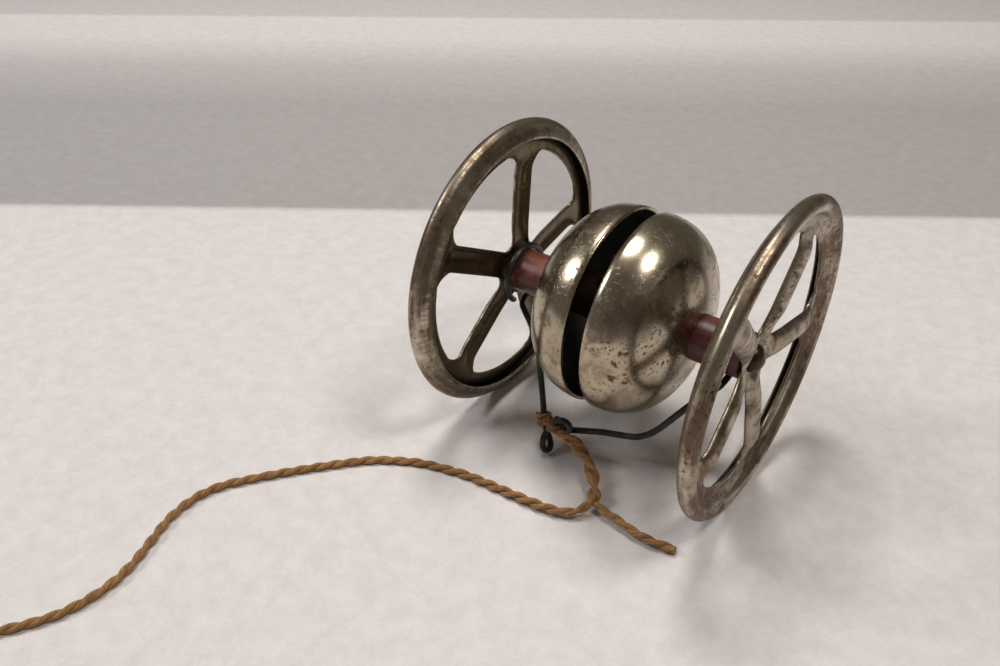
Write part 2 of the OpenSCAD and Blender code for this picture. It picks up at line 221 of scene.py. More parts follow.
class Nodes:
    def __init__(self, name):
        self.material = bpy.data.materials.new(name)
        self.material.use_nodes = True
        self.tree = self.material.node_tree
        self.shader = self.tree.nodes["Principled BSDF"]
        self.place = self.tree.nodes.new("ShaderNodeTexCoord").outputs["Object"]

    def add(self, kind, inputs=(), **settings):
        node = self.tree.nodes.new("ShaderNode" + kind)
        for key, value in settings.items():
            setattr(node, key, value)
        for key, value in dict(inputs).items():
            if isinstance(value, bpy.types.NodeSocket):
                self.tree.links.new(value, node.inputs[key])
            else:
                node.inputs[key].default_value = value
        return node

    def moved(self, where, scale=(1, 1, 1)):
        return self.add("Mapping", {"Vector": self.place, "Location": where, "Scale": scale}).outputs[0]

    def noise(self, scale, detail=4, rough=0.6, vector=None, distortion=0.0):
        inputs = {"Vector": vector or self.place, "Scale": scale, "Detail": detail,
                  "Roughness": rough, "Distortion": distortion}
        return self.add("TexNoise", inputs).outputs["Fac"]

    def ramp(self, value, *stops):
        node = self.add("ValToRGB", {"Fac": value})
        band = node.color_ramp
        while len(band.elements) < len(stops):
            band.elements.new(0.5)
        for element, (at, shade) in zip(band.elements, stops):
            element.position = at
            element.color = (shade, shade, shade, 1) if isinstance(shade, (int, float)) else (*shade, 1)
        return node.outputs["Color"]

    def maths(self, operation, a, b=0.0, clamp=False):
        return self.add("Math", {0: a, 1: b}, operation=operation, use_clamp=clamp).outputs[0]

    def mix(self, share, a, b, blend="MIX"):
        node = self.add("Mix", data_type="RGBA", blend_type=blend)
        sockets = (node.inputs["Factor"], node.inputs[6], node.inputs[7])
        for socket, value in zip(sockets, (share, a, b)):
            if isinstance(value, bpy.types.NodeSocket):
                self.tree.links.new(value, socket)
            else:
                socket.default_value = (*value, 1) if isinstance(value, tuple) else value
        return node.outputs[2]

    def bump(self, height, strength, distance):
        node = self.add("Bump", {"Height": height, "Strength": strength, "Distance": distance})
        self.set("Normal", node.outputs[0])

    def set(self, socket, value):
        if isinstance(value, bpy.types.NodeSocket):
            self.tree.links.new(value, self.shader.inputs[socket])
        else:
            self.shader.inputs[socket].default_value = (*value, 1) if isinstance(value, tuple) else value


# place about the axle: the separate axes, the angle round it and the distance out from it
def aroundAxle(n):
    part = n.add("SeparateXYZ", {"Vector": n.moved((0, 0, -axleZ))}).outputs
    squares = [n.maths("POWER", part[axis], 2.0) for axis in "YZ"]
    out = n.maths("SQRT", n.maths("ADD", *squares))
    return part, n.maths("ARCTAN2", part["Z"], part["Y"]), out


# old nickel plate: clean metal under brown tarnish clouds, fine specks and a few rust patches
def makeNickel(name, clean, dull, tarnishAmount, roughness, rustSpots=(), lineTurns=0):
    n = Nodes(name)
    broad = n.noise(42, 4, 0.6, distortion=0.5, vector=n.moved((0.07, 0.02, 0.11)))
    fine = n.noise(230, 5, 0.75)
    clouds = n.maths("ADD", n.maths("MULTIPLY", broad, 0.58), n.maths("MULTIPLY", fine, 0.42))
    if lineTurns:
        part, angle, out = aroundAxle(n)
        streaked = n.add("CombineXYZ", {"X": n.maths("MULTIPLY", angle, 2.2),
                                        "Y": n.maths("MULTIPLY", out, 260.0),
                                        "Z": n.maths("MULTIPLY", part["X"], 330.0)}).outputs[0]
        streaks = n.noise(1.0, 4, 0.65, vector=streaked)
        clouds = n.maths("ADD", n.maths("MULTIPLY", clouds, 0.55), n.maths("MULTIPLY", streaks, 0.45))
    tarnish = n.ramp(clouds, (0.60 - tarnishAmount * 0.14, 0.0), (0.65 - tarnishAmount * 0.09, 1.0))
    wash = n.ramp(n.noise(80, 4, 0.6), (0.35, 0.0), (0.7, 1.0))
    metal = n.mix(wash, clean, dull)
    brown = n.mix(n.noise(300, 4, 0.7), (0.070, 0.034, 0.026), (0.19, 0.12, 0.075))
    covered = n.maths("MULTIPLY", tarnish, 0.35 + tarnishAmount * 0.48)
    metal = n.mix(covered, metal, brown)
    where = n.ramp(n.noise(48, 3, 0.5, vector=n.moved((0.3, 0.1, 0.2))), (0.40, 0.0), (0.60, 1.0))
    specks = n.ramp(n.noise(760, 3, 0.6), (0.575, 0.0), (0.64, 1.0))
    specks = n.maths("MULTIPLY", specks, where)
    cells = n.add("TexVoronoi", {"Vector": n.place, "Scale": 430}).outputs["Distance"]
    pits = n.ramp(cells, (0.08, 1.0), (0.2, 0.0))
    pits = n.maths("MULTIPLY", pits, n.ramp(n.noise(120, 3, 0.5), (0.5, 0.0), (0.62, 1.0)))
    marks = n.maths("MAXIMUM", specks, pits)
    for spot in rustSpots:
        away = n.add("VectorMath", {0: n.place, 1: spot["place"]}, operation="DISTANCE").outputs["Value"]
        near = n.ramp(n.maths("DIVIDE", away, spot["size"]), (0.0, 1.0), (1.0, 0.0))
        edge = n.maths("MULTIPLY", n.maths("SUBTRACT", n.noise(420, 4, 0.75), 0.5), 2.6)
        ragged = n.maths("ADD", near, edge)
        ragged = n.maths("MULTIPLY", ragged, n.ramp(near, (0.0, 0.0), (0.25, 1.0)))
        patch = n.ramp(ragged, (0.62, 0.0), (0.86, 1.0))
        marks = n.maths("MAXIMUM", marks, patch)
    rust = n.mix(n.noise(700, 3, 0.6), (0.085, 0.04, 0.022), (0.19, 0.095, 0.05))
    colour = n.mix(n.maths("MULTIPLY", marks, 0.86), metal, rust)
    rough = n.maths("ADD", n.maths("MULTIPLY", clouds, 0.10), roughness - 0.05)
    rough = n.maths("ADD", rough, n.maths("MULTIPLY", covered, 0.16))
    rough = n.maths("ADD", rough, n.maths("MULTIPLY", marks, 0.35), clamp=True)
    dents = n.maths("MULTIPLY", n.noise(60, 3, 0.5), 0.5)
    height = n.maths("SUBTRACT", dents, n.maths("MULTIPLY", marks, 0.3))
    if lineTurns:
        # drawing marks of the press, which run across the inner lip
        swept = n.add("CombineXYZ", {"X": n.maths("MULTIPLY", angle, lineTurns),
                                     "Y": n.maths("MULTIPLY", out, 90.0)}).outputs[0]
        lines = n.ramp(n.noise(1.0, 4, 0.75, vector=swept), (0.45, 0.0), (0.57, 1.0))
        lipOnly = n.ramp(n.maths("SUBTRACT", out, 0.0435), (0.0, 0.0), (0.0008, 1.0))
        inside = n.ramp(n.maths("ABSOLUTE", part["X"]), (0.0440, 1.0), (0.0452, 0.0))
        lines = n.maths("MULTIPLY", n.maths("MULTIPLY", lines, lipOnly), inside)
        colour = n.mix(n.maths("MULTIPLY", lines, 0.8), colour, (0.16, 0.135, 0.08))
        rough = n.maths("ADD", rough, n.maths("MULTIPLY", lines, 0.2), clamp=True)
        height = n.maths("SUBTRACT", height, n.maths("MULTIPLY", lines, 0.6))
    n.set("Base Color", colour)
    n.set("Metallic", 1.0)
    n.set("Roughness", rough)
    n.bump(height, 0.3, 0.0003)
    return n.material


def makeDarkMetal(name, base, spot, roughness, metallic, scale=180, grain=0.3):
    n = Nodes(name)
    patches = n.ramp(n.noise(scale, 4, 0.6), (0.45, 0.0), (0.68, 1.0))
    n.set("Base Color", n.mix(patches, base, spot))
    n.set("Metallic", metallic)
    uneven = n.maths("MULTIPLY", n.noise(scale * 3, 3, 0.6), 0.25)
    n.set("Roughness", n.maths("ADD", uneven, roughness - 0.12))
    n.bump(n.noise(scale * 6, 3, 0.6), grain, 0.0002)
    return n.material


# painted or bare turned wood: grain runs along the axle
def makeWood(name, paintColour, worn, bare, wearAmount, gloss, gongShadeTo=0.0):
    n = Nodes(name)
    grain = n.noise(60, 5, 0.65, vector=n.moved((0, 0, 0), (1.2, 14, 14)))
    rings = n.noise(70, 3, 0.6, vector=n.moved((0, 0, 0), (16, 1.5, 1.5)))
    colour = n.mix(n.ramp(grain, (0.35, 0.0), (0.65, 1.0)), paintColour, worn)
    patches = n.noise(95, 4, 0.6, distortion=0.5)
    patches = n.ramp(patches, (0.60 - wearAmount, 0.0), (0.70 - wearAmount * 0.6, 1.0))
    colour = n.mix(n.maths("MULTIPLY", patches, 0.8), colour, bare)
    streak = n.noise(160, 4, 0.7, vector=n.moved((0.1, 0.2, 0), (2, 6, 6)))
    streak = n.ramp(streak, (0.54, 0.0), (0.68, 1.0))
    colour = n.mix(n.maths("MULTIPLY", streak, 0.75), colour, (0.035, 0.018, 0.016))
    # painted shade: the axle darkens to near-black inside the gongs, fading out towards the given reach
    # from its middle; its left end also shows bare wood where the paint is rubbed
    if gongShadeTo:
        along = n.maths("ABSOLUTE", n.add("SeparateXYZ", {"Vector": n.place}).outputs["X"])
        gongShade = n.ramp(n.maths("DIVIDE", along, gongShadeTo), (0.8, 1.0), (1.0, 0.0))
        colour = n.mix(n.maths("MULTIPLY", gongShade, 0.88), colour, (0.018, 0.011, 0.009))
        toLeft = n.maths("MULTIPLY", n.add("SeparateXYZ", {"Vector": n.place}).outputs["X"], -1.0)
        leftEnd = n.ramp(toLeft, (0.020, 0.0), (0.026, 1.0))
        rubbed = n.ramp(n.noise(150, 4, 0.65), (0.42, 1.0), (0.56, 0.0))
        colour = n.mix(n.maths("MULTIPLY", n.maths("MULTIPLY", leftEnd, rubbed), 0.6), colour, bare)
    n.set("Base Color", colour)
    n.set("Roughness", n.maths("ADD", n.maths("MULTIPLY", patches, 0.2), gloss))
    n.set("Coat Weight", 0.15)
    n.set("Coat Roughness", 0.3)
    n.bump(n.maths("ADD", n.maths("MULTIPLY", grain, 0.6), n.maths("MULTIPLY", rings, 0.4)), 0.3, 0.0003)
    return n.material


# twine: fibres run along each ply, and painted shade darkens the plies where they meet
def makeTwine(name, light, dark, creaseShade):
    n = Nodes(name)
    uv = n.add("UVMap", uv_map="UVMap").outputs[0]
    part = n.add("SeparateXYZ", {"Vector": uv}).outputs
    turn = n.maths("MULTIPLY", part["X"], 2 * math.pi)
    ring = n.add("CombineXYZ", {"X": n.maths("MULTIPLY", n.maths("COSINE", turn), 2.6),
                                "Y": n.maths("MULTIPLY", n.maths("SINE", turn), 2.6),
                                "Z": n.maths("MULTIPLY", part["Y"], 260.0)}).outputs[0]
    streaks = n.noise(1.6, 5, 0.7, vector=ring)
    colour = n.mix(n.ramp(streaks, (0.42, 0.0), (0.58, 1.0)), light, dark)
    stains = n.ramp(n.noise(120, 3, 0.5), (0.45, 0.0), (0.7, 1.0))
    colour = n.mix(n.maths("MULTIPLY", stains, 0.35), colour, dark)
    # painted shade in the crease between the plies, on the side of each ply that faces the other
    creaseShadeMask = n.ramp(n.maths("COSINE", turn), (0.35, 0.0), (0.85, 1.0))
    n.set("Base Color", n.mix(n.maths("MULTIPLY", creaseShadeMask, 0.9), colour, creaseShade))
    n.set("Roughness", 0.78)
    n.set("Sheen Weight", 0.25)
    n.set("Sheen Roughness", 0.5)
    n.bump(streaks, 0.7, 0.0005)
    return n.material


axleZ = middleOf("axle").z

rightRust = [
    {"place": (0.0153, -0.0290, axleZ + 0.0060), "size": 0.0036},
    {"place": (0.0137, -0.0306, axleZ + 0.0022), "size": 0.0026},
    {"place": (0.0129, -0.0309, axleZ - 0.0027), "size": 0.0034},
    {"place": (0.0166, -0.0283, axleZ - 0.0044), "size": 0.0042},
    {"place": (0.0252, 0.0016, axleZ - 0.0120), "size": 0.0036},
]
gongNickel = makeNickel("gongNickel", (0.62, 0.55, 0.43), (0.38, 0.31, 0.21), 0.5, 0.22, rightRust)
wheelNickel = makeNickel("wheelNickel", (0.57, 0.52, 0.42), (0.31, 0.25, 0.17), 1.12, 0.30, lineTurns=34.0)
# a darker copy of the wheel's nickel for its inward faces: painted shade, under the same tarnish clouds
wheelShadedInside = makeNickel("wheelShadedInside", (0.19, 0.16, 0.10), (0.11, 0.09, 0.055), 0.7, 0.32)
# near-black metal for the rim's hollows: painted shade
wheelShade = makeDarkMetal("wheelShade", (0.035, 0.032, 0.026), (0.075, 0.06, 0.045), 0.7, 0.4)
gongInside = makeDarkMetal("gongInside", (0.050, 0.055, 0.042), (0.10, 0.10, 0.075), 0.7, 0.2)
blackWire = makeDarkMetal("blackWire", (0.030, 0.033, 0.034), (0.062, 0.060, 0.055), 0.36, 0.55, 260)
darkIron = makeDarkMetal("darkIron", (0.055, 0.045, 0.038), (0.12, 0.065, 0.035), 0.5, 0.7)
nailIron = makeDarkMetal("nailIron", (0.040, 0.020, 0.013), (0.085, 0.045, 0.028), 0.30, 0.7, 240)
# the axle's red paint, with painted shade on its middle inside the gongs, 26 mm each way
redWood = makeWood("redWood", (0.130, 0.030, 0.027), (0.070, 0.017, 0.018), (0.26, 0.085, 0.05),
                   0.10, 0.42, gongShadeTo=0.026)
bareWood = makeWood("bareWood", (0.42, 0.27, 0.14), (0.33, 0.2, 0.1), (0.5, 0.34, 0.19), 0.1, 0.6)
cordTwine = makeTwine("cordTwine", (0.54, 0.29, 0.09), (0.21, 0.085, 0.02), (0.05, 0.017, 0.007))
knotTwine = makeTwine("knotTwine", (0.40, 0.20, 0.075), (0.20, 0.09, 0.035), (0.06, 0.024, 0.01))
print("materials made")


cordSpec = {"diameter": 2.6 * mm, "plyRadius": 0.84 * mm, "plyOff": 0.54 * mm, "layLength": 11.0 * mm,
            "pairOff": 1.05 * mm, "pairTurns": 1.5}

# the two ends of the twine leave the knots side by side, twisted round each other
pairRoute = [(-7.6, -24.2, 11.6), (-5.2, -24.1, 10.8), (-1.8, -24.2, 9.5), (2.4, -24.8, 7.3),
             (6.5, -27.0, 5.3), (10.3, -30.6, 4.0), (13.0, -34.6, 3.2), (14.6, -38.0, 2.8)]
pullRoute = [(13.2, -41.6, 2.7), (11.0, -44.8, 2.5), (7, -46.9, 2.3), (1, -48.2, 2.1), (-6, -49, 1.8),
             (-14, -49.8, 1.4), (-24, -51, 1.4), (-32, -53, 1.4), (-41, -56, 1.4),
             (-49, -60.4, 1.4), (-57, -66.4, 1.4), (-67, -77.6, 1.4),
             (-76, -88.8, 1.4), (-82, -97, 1.4), (-86.4, -104, 1.4), (-88.6, -112, 1.4), (-87.8, -122, 1.4),
             (-84, -132, 1.4), (-80.6, -141, 1.4), (-79.4, -151, 1.4), (-82, -163, 1.4), (-90, -176, 1.4),
             (-99, -188, 1.4)]
tailRoute = [(18.4, -38.2, 2.8), (25, -39.0, 2.8), (31, -39.8, 2.6), (37, -39.4, 2.2), (44, -37.6, 1.45)]
coilSpec = {"middle": (-91.0, -207.0), "startAngle": 149.0, "turns": 5.62,
            "steps": [(0, 17.3, 1.4), (2.0, 12.2, 1.4), (2.25, 12.6, 3.6), (3.9, 16.9, 3.7),
                      (4.2, 16.2, 5.9), (5.2, 13.9, 6.0), (5.62, 14.6, 7.0)]}


def inMetres(points):
    return [tuple(mm * c for c in p) for p in points]


def coilPoints():
    turns, radii, heights = zip(*coilSpec["steps"])
    points = []
    for t in np.arange(0.0, coilSpec["turns"] + 0.001, 1 / 36):
        a = math.radians(coilSpec["startAngle"] + 360 * t)
        r, z = np.interp(t, turns, radii), np.interp(t, turns, heights)
        points.append((coilSpec["middle"][0] + r * math.cos(a), coilSpec["middle"][1] + r * math.sin(a), z))
    return points


pairLine = smoothLine(inMetres(pairRoute), 0.5 * mm)
pairLine = evenLine(pairLine, 0.4 * mm)
_, pairUp, pairSide = carriedFrames(pairLine)
toSplit = np.linspace(0, 1, len(pairLine))
# the pull cord leaves on the right-hand side of the heading, the tail on the left
swing = math.pi - 2 * math.pi * cordSpec["pairTurns"] * (1 - toSplit)
offset = cordSpec["pairOff"] * (np.cos(swing)[:, None] * pairSide + np.sin(swing)[:, None] * pairUp)


def strandRoute(sign, rest):
    first = pairLine + sign * offset
    keep = first[:: 4]
    whole = np.vstack([keep[:-1], np.array(inMetres(rest))])
    return evenLine(smoothLine(whole, 0.5 * mm), 0.55 * mm)


pullLine = strandRoute(1, pullRoute + coilPoints())
tailLine = strandRoute(-1, tailRoute)


def twistedPlies(line, spec, plies=2, phase=0.0, loosen=None):
    heading, s1, s2 = carriedFrames(line)
    along = np.concatenate([[0], np.cumsum(np.linalg.norm(np.diff(line, axis=0), axis=1))])
    lines, sides, radii = [], [], []
    wobble = 1 + 0.05 * np.sin(along * 410) + 0.04 * np.sin(along * 973 + 2)
    off = spec["plyOff"] * (1 if loosen is None else loosen(along))
    for k in range(plies):
        a = phase + 2 * math.pi * k / plies - 2 * math.pi * along / spec["layLength"]
        out = np.cos(a)[:, None] * s1 + np.sin(a)[:, None] * s2
        ply = line + (off * wobble)[:, None] * out if np.ndim(off) else line + off * wobble[:, None] * out
        lines.append(ply)
        h = np.gradient(ply, axis=0)
        h /= np.linalg.norm(h, axis=1)[:, None]
        inward = -(out - (out * h).sum(1)[:, None] * h)
        inward /= np.linalg.norm(inward, axis=1)[:, None]
        sides.append((h, inward, np.cross(h, inward)))
        radii.append(spec["plyRadius"] * (1 + 0.06 * np.sin(along * 617 + 3 * k)))
    return lines, sides, radii


def makeCord(name, line, phase=0.0, loosen=None, extra=None):
    lines, sides, radii = twistedPlies(line, cordSpec, phase=phase, loosen=loosen)
    if extra is not None:
        radii = [r * extra(np.linspace(0, 1, len(line))) for r in radii]
    cord = sweptTubes(name, lines, radii, 10, sides)
    paint(cord, cordTwine)
    return cord


# the lay opens a little where the cord turns away from its tail
def openLay(along):
    return 1 + 0.42 * np.exp(-((along - 0.062) / 0.02) ** 2)


pullCord = makeCord("pullCord", pullLine, loosen=openLay)
tailCord = makeCord("tailCord", tailLine, 1.3, extra=lambda t: 1 + 0.22 * np.clip((t - 0.88) / 0.12, 0, 1))
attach(pullCord, "pull_arms")
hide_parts("pull_cord", "pull_cord_coil")
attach(tailCord, "pull_arms")
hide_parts("cord_tail")
print("cord length", round(lineLength(pullLine), 4), "tail", round(lineLength(tailLine), 4))

# knot in the cord's far end: a small overhand knot, wound from the same twine
endKnotSpec = {"tubeRadius": 0.9 * mm, "plyRadius": 0.5 * mm, "plyOff": 0.4 * mm, "layLength": 7 * mm,
               "size": 1.9 * mm, "flat": 1.6, "turn": 0.4}


def overhand(middle, size, flat, turn):
    out = []
    for t in np.linspace(0, 2 * math.pi, 90, endpoint=False):
        x, y = math.sin(t) + 2 * math.sin(2 * t), math.cos(t) - 2 * math.cos(2 * t)
        p = Vector((x, y, -math.sin(3 * t) * flat))
        p = Matrix.Rotation(turn, 3, "Z") @ (p * size / 3)
        out.append(middle + p)
    out.append(out[0])
    return np.array(out)


knotMiddle = middleOf("cord_end_knot")
endKnotLine = overhand(knotMiddle, endKnotSpec["size"], endKnotSpec["flat"], endKnotSpec["turn"])
lines, sides, _ = twistedPlies(endKnotLine, endKnotSpec)
radii = [np.full(len(endKnotLine), endKnotSpec["tubeRadius"])] * 2
endKnot = sweptTubes("endKnot", lines, radii, 8, sides)
paint(endKnot, knotTwine)
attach(endKnot, "pull_arms")
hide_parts("cord_end_knot")

print("cords made")


wheelSpec = {
    "sheet": 1.0, "rollR": 2.7, "lipDepth": 5.0, "lipLean": 27.0, "filletR": 3.5,
    "windowR": 40.3, "cornerR": 4.5, "tipR": 3.0, "spokeHalf": 4.7, "spokes": 5,
    "hubR": 9.0, "hubIn": 2.9, "seatR": 5.1, "seatIn": 4.0, "boreR": 1.5,
    "rise": 2.5, "edgeCurl": 0.7, "leftTurn": 8.0, "rightTurn": -8.0,
    "webIn": 8.07, "webZ": -0.4, "columns": 8, "bandColumns": 12,
    "cornerRows": 7, "straightRows": 14, "tipRows": 4,
}


def smoothStep(a, b, x):
    t = np.clip((x - a) / (b - a), 0, 1)
    return t * t * (3 - 2 * t)


# height of the pressed sheet's outer face over the tread's plane, at radius r and
# distance d from a spoke's line
def sheetHeight(r, d, spec, wheelR):
    faceR, faceZ = wheelR - spec["webIn"], spec["webZ"]
    slope = (faceZ + spec["hubIn"]) / (faceR - spec["hubR"])
    z = faceZ - slope * (faceR - np.minimum(r, faceR))
    across = np.clip(1 - (d / (spec["spokeHalf"] + 0.5)) ** 2, 0, 1)
    rib = smoothStep(6.4, 9.0, r) * (1 - smoothStep(33.0, 42.0, r))
    rib = rib * (0.45 + 0.55 * smoothStep(9.5, 17.0, r))
    z = z + spec["rise"] * rib * across
    seat = 1 - smoothStep(spec["seatR"] - 0.3, spec["seatR"] + 2.2, r)
    return z - (spec["seatIn"] - spec["hubIn"]) * seat


# rows of the sheet from a window's outer corner down the spoke to the hub:
# middle radius, edge radius, edge angle
def spokeRows(spec):
    half = math.pi / spec["spokes"]
    edge, corner, tip = spec["spokeHalf"], spec["cornerR"], spec["tipR"]
    reach = math.sqrt((spec["windowR"] - corner) ** 2 - (edge + corner) ** 2)
    cornerA = math.atan2(edge + corner, reach)
    rows = []
    for k in range(spec["cornerRows"]):
        t = k / spec["cornerRows"]
        b = cornerA + (-math.pi / 2 - cornerA) * t
        x, y = reach + corner * math.cos(b), edge + corner + corner * math.sin(b)
        rows.append((spec["windowR"] + (reach - spec["windowR"]) * t, math.hypot(x, y), math.atan2(y, x)))
    tipX = (edge + tip) / math.tan(half)
    for k in range(spec["straightRows"]):
        x = reach + (tipX - reach) * k / spec["straightRows"]
        rows.append((x, math.hypot(x, edge), math.atan2(edge, x)))
    for k in range(spec["tipRows"] + 1):
        t = k / spec["tipRows"]
        b = -math.pi / 2 - (math.pi / 2 - half) * t
        x, y = tipX + tip * math.cos(b), edge + tip + tip * math.sin(b)
        rows.append((tipX - 1.1 * t, math.hypot(x, y), math.atan2(y, x)))
    for r in (8.8, 8.0, 7.2, 6.4, 5.6, 4.8, 3.4, spec["boreR"]):
        rows.append((r, r, half))
    return rows, cornerA


def gridPiece(name, columns, rows):
    deselectAll()
    bpy.ops.mesh.primitive_grid_add(x_subdivisions=columns, y_subdivisions=rows, size=2, location=(0, 0, 0))
    return named(name)


def pressedWeb(name, wheelR):
    spec = wheelSpec
    rows, cornerA = spokeRows(spec)
    half = math.pi / spec["spokes"]
    curlTo = spec["cornerRows"] + spec["straightRows"] + spec["tipRows"]
    n = 2 * spec["columns"]
    spoke = gridPiece(name, n, len(rows) - 1)
    for v in spoke.data.vertices:
        u = round((v.co.x + 1) / 2 * n) / n * 2 - 1
        k = round((v.co.y + 1) / 2 * (len(rows) - 1))
        middleR, edgeR, edgeA = rows[k]
        r, a = middleR + (edgeR - middleR) * u * u, edgeA * u
        d = abs(r * math.sin(a)) if k <= curlTo else abs(r * math.sin(a)) * 0.9
        z = float(sheetHeight(r, d, spec, wheelR))
        if 0 < k < curlTo:
            z -= spec["edgeCurl"] * abs(u) ** 6
        v.co = (r * math.cos(a), r * math.sin(a), z)
    bandColumns = spec["bandColumns"]
    bandR = [spec["windowR"] + step for step in (0, 0.5, 1.2, 2.0)] + [wheelR - spec["webIn"]]
    band = gridPiece(name + "Band", n + 2 * bandColumns, len(bandR) - 1)
    total = n + 2 * bandColumns
    for v in band.data.vertices:
        i = round((v.co.x + 1) / 2 * total)
        k = round((v.co.y + 1) / 2 * (len(bandR) - 1))
        if i <= bandColumns:
            a = -half + (half - cornerA) * i / bandColumns
        elif i >= total - bandColumns:
            a = half - (half - cornerA) * (total - i) / bandColumns
        else:
            a = cornerA * ((i - bandColumns) / n * 2 - 1)
        r = bandR[k]
        z = float(sheetHeight(r, abs(r * math.sin(a)), spec, wheelR))
        if k == 0 and abs(a) > cornerA + 1e-6:
            z -= spec["edgeCurl"]
        v.co = (r * math.cos(a), r * math.sin(a), z)
    spoke.data.update()
    band.data.update()
    takeUp(spoke)
    band.select_set(True)
    bpy.ops.object.join()
    bpy.ops.object.mode_set(mode="EDIT")
    bpy.ops.mesh.select_all(action="SELECT")
    bpy.ops.mesh.remove_doubles(threshold=0.002)
    bpy.ops.mesh.spin(steps=spec["spokes"], dupli=True, angle=2 * math.pi, use_auto_merge=False,
                      center=(0, 0, 0), axis=(0, 0, 1))
    bpy.ops.mesh.select_all(action="SELECT")
    bpy.ops.mesh.remove_doubles(threshold=0.002)
    bpy.ops.object.mode_set(mode="OBJECT")
    return spoke


# the rim goes on from the web's outer edge: a fillet, the rolled tread and the lip inside it
def rimSteps(wheelR):
    spec = wheelSpec
    rollY, rollR, filletR = wheelR - spec["rollR"], spec["rollR"], spec["filletR"]
    out = math.radians(-60)
    fx, fy = (rollR + filletR) * math.cos(out), rollY + (rollR + filletR) * math.sin(out)
    steps = []
    for k in range(1, 5):
        a = math.radians(180 - 60 * k / 4)
        steps.append((fy + filletR * math.sin(a), fx + filletR * math.cos(a)))
    for k in range(1, 15):
        a = out + math.radians(210) * k / 14
        steps.append((rollY + rollR * math.sin(a), rollR * math.cos(a)))
    lean = math.radians(spec["lipLean"])
    r0, z0 = steps[-1]
    for k in range(1, 4):
        depth = spec["lipDepth"] * k / 3
        steps.append((r0 - depth * math.cos(lean), z0 - depth * math.sin(lean)))
    return steps


def makeWheel(name):
    spec = wheelSpec
    low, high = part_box("left_wheel")
    wheelR = (high.z - low.z) / 2 / mm
    wheel = pressedWeb(name, wheelR)
    edge = wheelR - spec["webIn"]
    bpy.ops.object.mode_set(mode="EDIT")
    bpy.ops.mesh.select_mode(type="VERT")
    bpy.ops.mesh.select_all(action="DESELECT")
    bpy.ops.object.mode_set(mode="OBJECT")
    for v in wheel.data.vertices:
        v.select = math.hypot(v.co.x, v.co.y) > edge - 0.05
    bpy.ops.object.mode_set(mode="EDIT")
    rOld, zOld = edge, spec["webZ"]
    for rNew, zNew in rimSteps(wheelR):
        bpy.ops.mesh.extrude_edges_move()
        s = rNew / rOld
        bpy.ops.transform.resize(value=(s, s, 1), center_override=(0, 0, zOld))
        bpy.ops.transform.translate(value=(0, 0, zNew - zOld))
        rOld, zOld = rNew, zNew
    bpy.ops.mesh.select_all(action="SELECT")
    bpy.ops.mesh.remove_doubles(threshold=0.002)
    bpy.ops.mesh.normals_make_consistent(inside=False)
    bpy.ops.object.mode_set(mode="OBJECT")
    hubFaces = [p.normal.z for p in wheel.data.polygons if p.center.xy.length < 20]
    if sum(hubFaces) < 0:
        wheel.data.flip_normals()
    solid = wheel.modifiers.new("sheet", "SOLIDIFY")
    solid.thickness, solid.offset, solid.use_even_offset = spec["sheet"], -1, True
    soft = wheel.modifiers.new("soft", "SUBSURF")
    soft.levels = soft.render_levels = 1
    applyModifiers(wheel)
    wheel.scale = (mm, mm, mm)
    bakePlace(wheel)
    takeUp(wheel)
    bpy.ops.object.shade_smooth()
    paint(wheel, wheelNickel, wheelShadedInside, wheelShade)
    rollY, rollR = wheelR - spec["rollR"], spec["rollR"]
    for face in wheel.data.polygons:
        r, z, up = face.center.xy.length / mm, face.center.z / mm, face.normal.z
        # web faces turned in towards the gongs take the darker nickel copy: painted shade
        if r < rollY - 4.6:
            face.material_index = 1 if up < -0.1 else 0
            continue
        # faces inside the rolled tread, behind the lip and behind the trough take the near-black metal:
        # painted shade in the rim's hollows
        inRoll = math.hypot(r - rollY, z) < rollR - 0.4
        lipBack = z < -1.0 and up > 0.1
        troughBack = z > -2.2 and up < -0.1 and r < rollY - 1
        if inRoll or lipBack or troughBack:
            face.material_index = 2
    return wheel


wheelRight = makeWheel("wheelRight")
wheelLeft = wheelRight.copy()
wheelLeft.data = wheelRight.data.copy()
wheelLeft.name = wheelLeft.data.name = "wheelLeft"
bpy.context.scene.collection.objects.link(wheelLeft)
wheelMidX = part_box("right_wheel")[1].x - wheelSpec["rollR"] * mm
for wheel, side, turn, node in ((wheelRight, 1, wheelSpec["rightTurn"], "right_wheel"),
                                (wheelLeft, -1, wheelSpec["leftTurn"], "left_wheel")):
    alongAxle(wheel, side, side * wheelMidX, turn)
    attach(wheel, "roller")
    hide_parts(node)
print("wheels made:", len(wheelRight.data.polygons), "faces")


gongSpec = {"wall": 1.2 * mm, "fullness": 2.36, "rings": 26, "segments": 128, "rimRound": 0.25 * mm}


def domeSteps(radius, depth, hole, fullness, rings):
    last = math.acos((hole / radius) ** (fullness / 2))
    power = 2 / fullness
    turns = [last * i / rings for i in range(rings + 1)]
    return [(radius * math.cos(a) ** power, depth * math.sin(a) ** power) for a in turns]


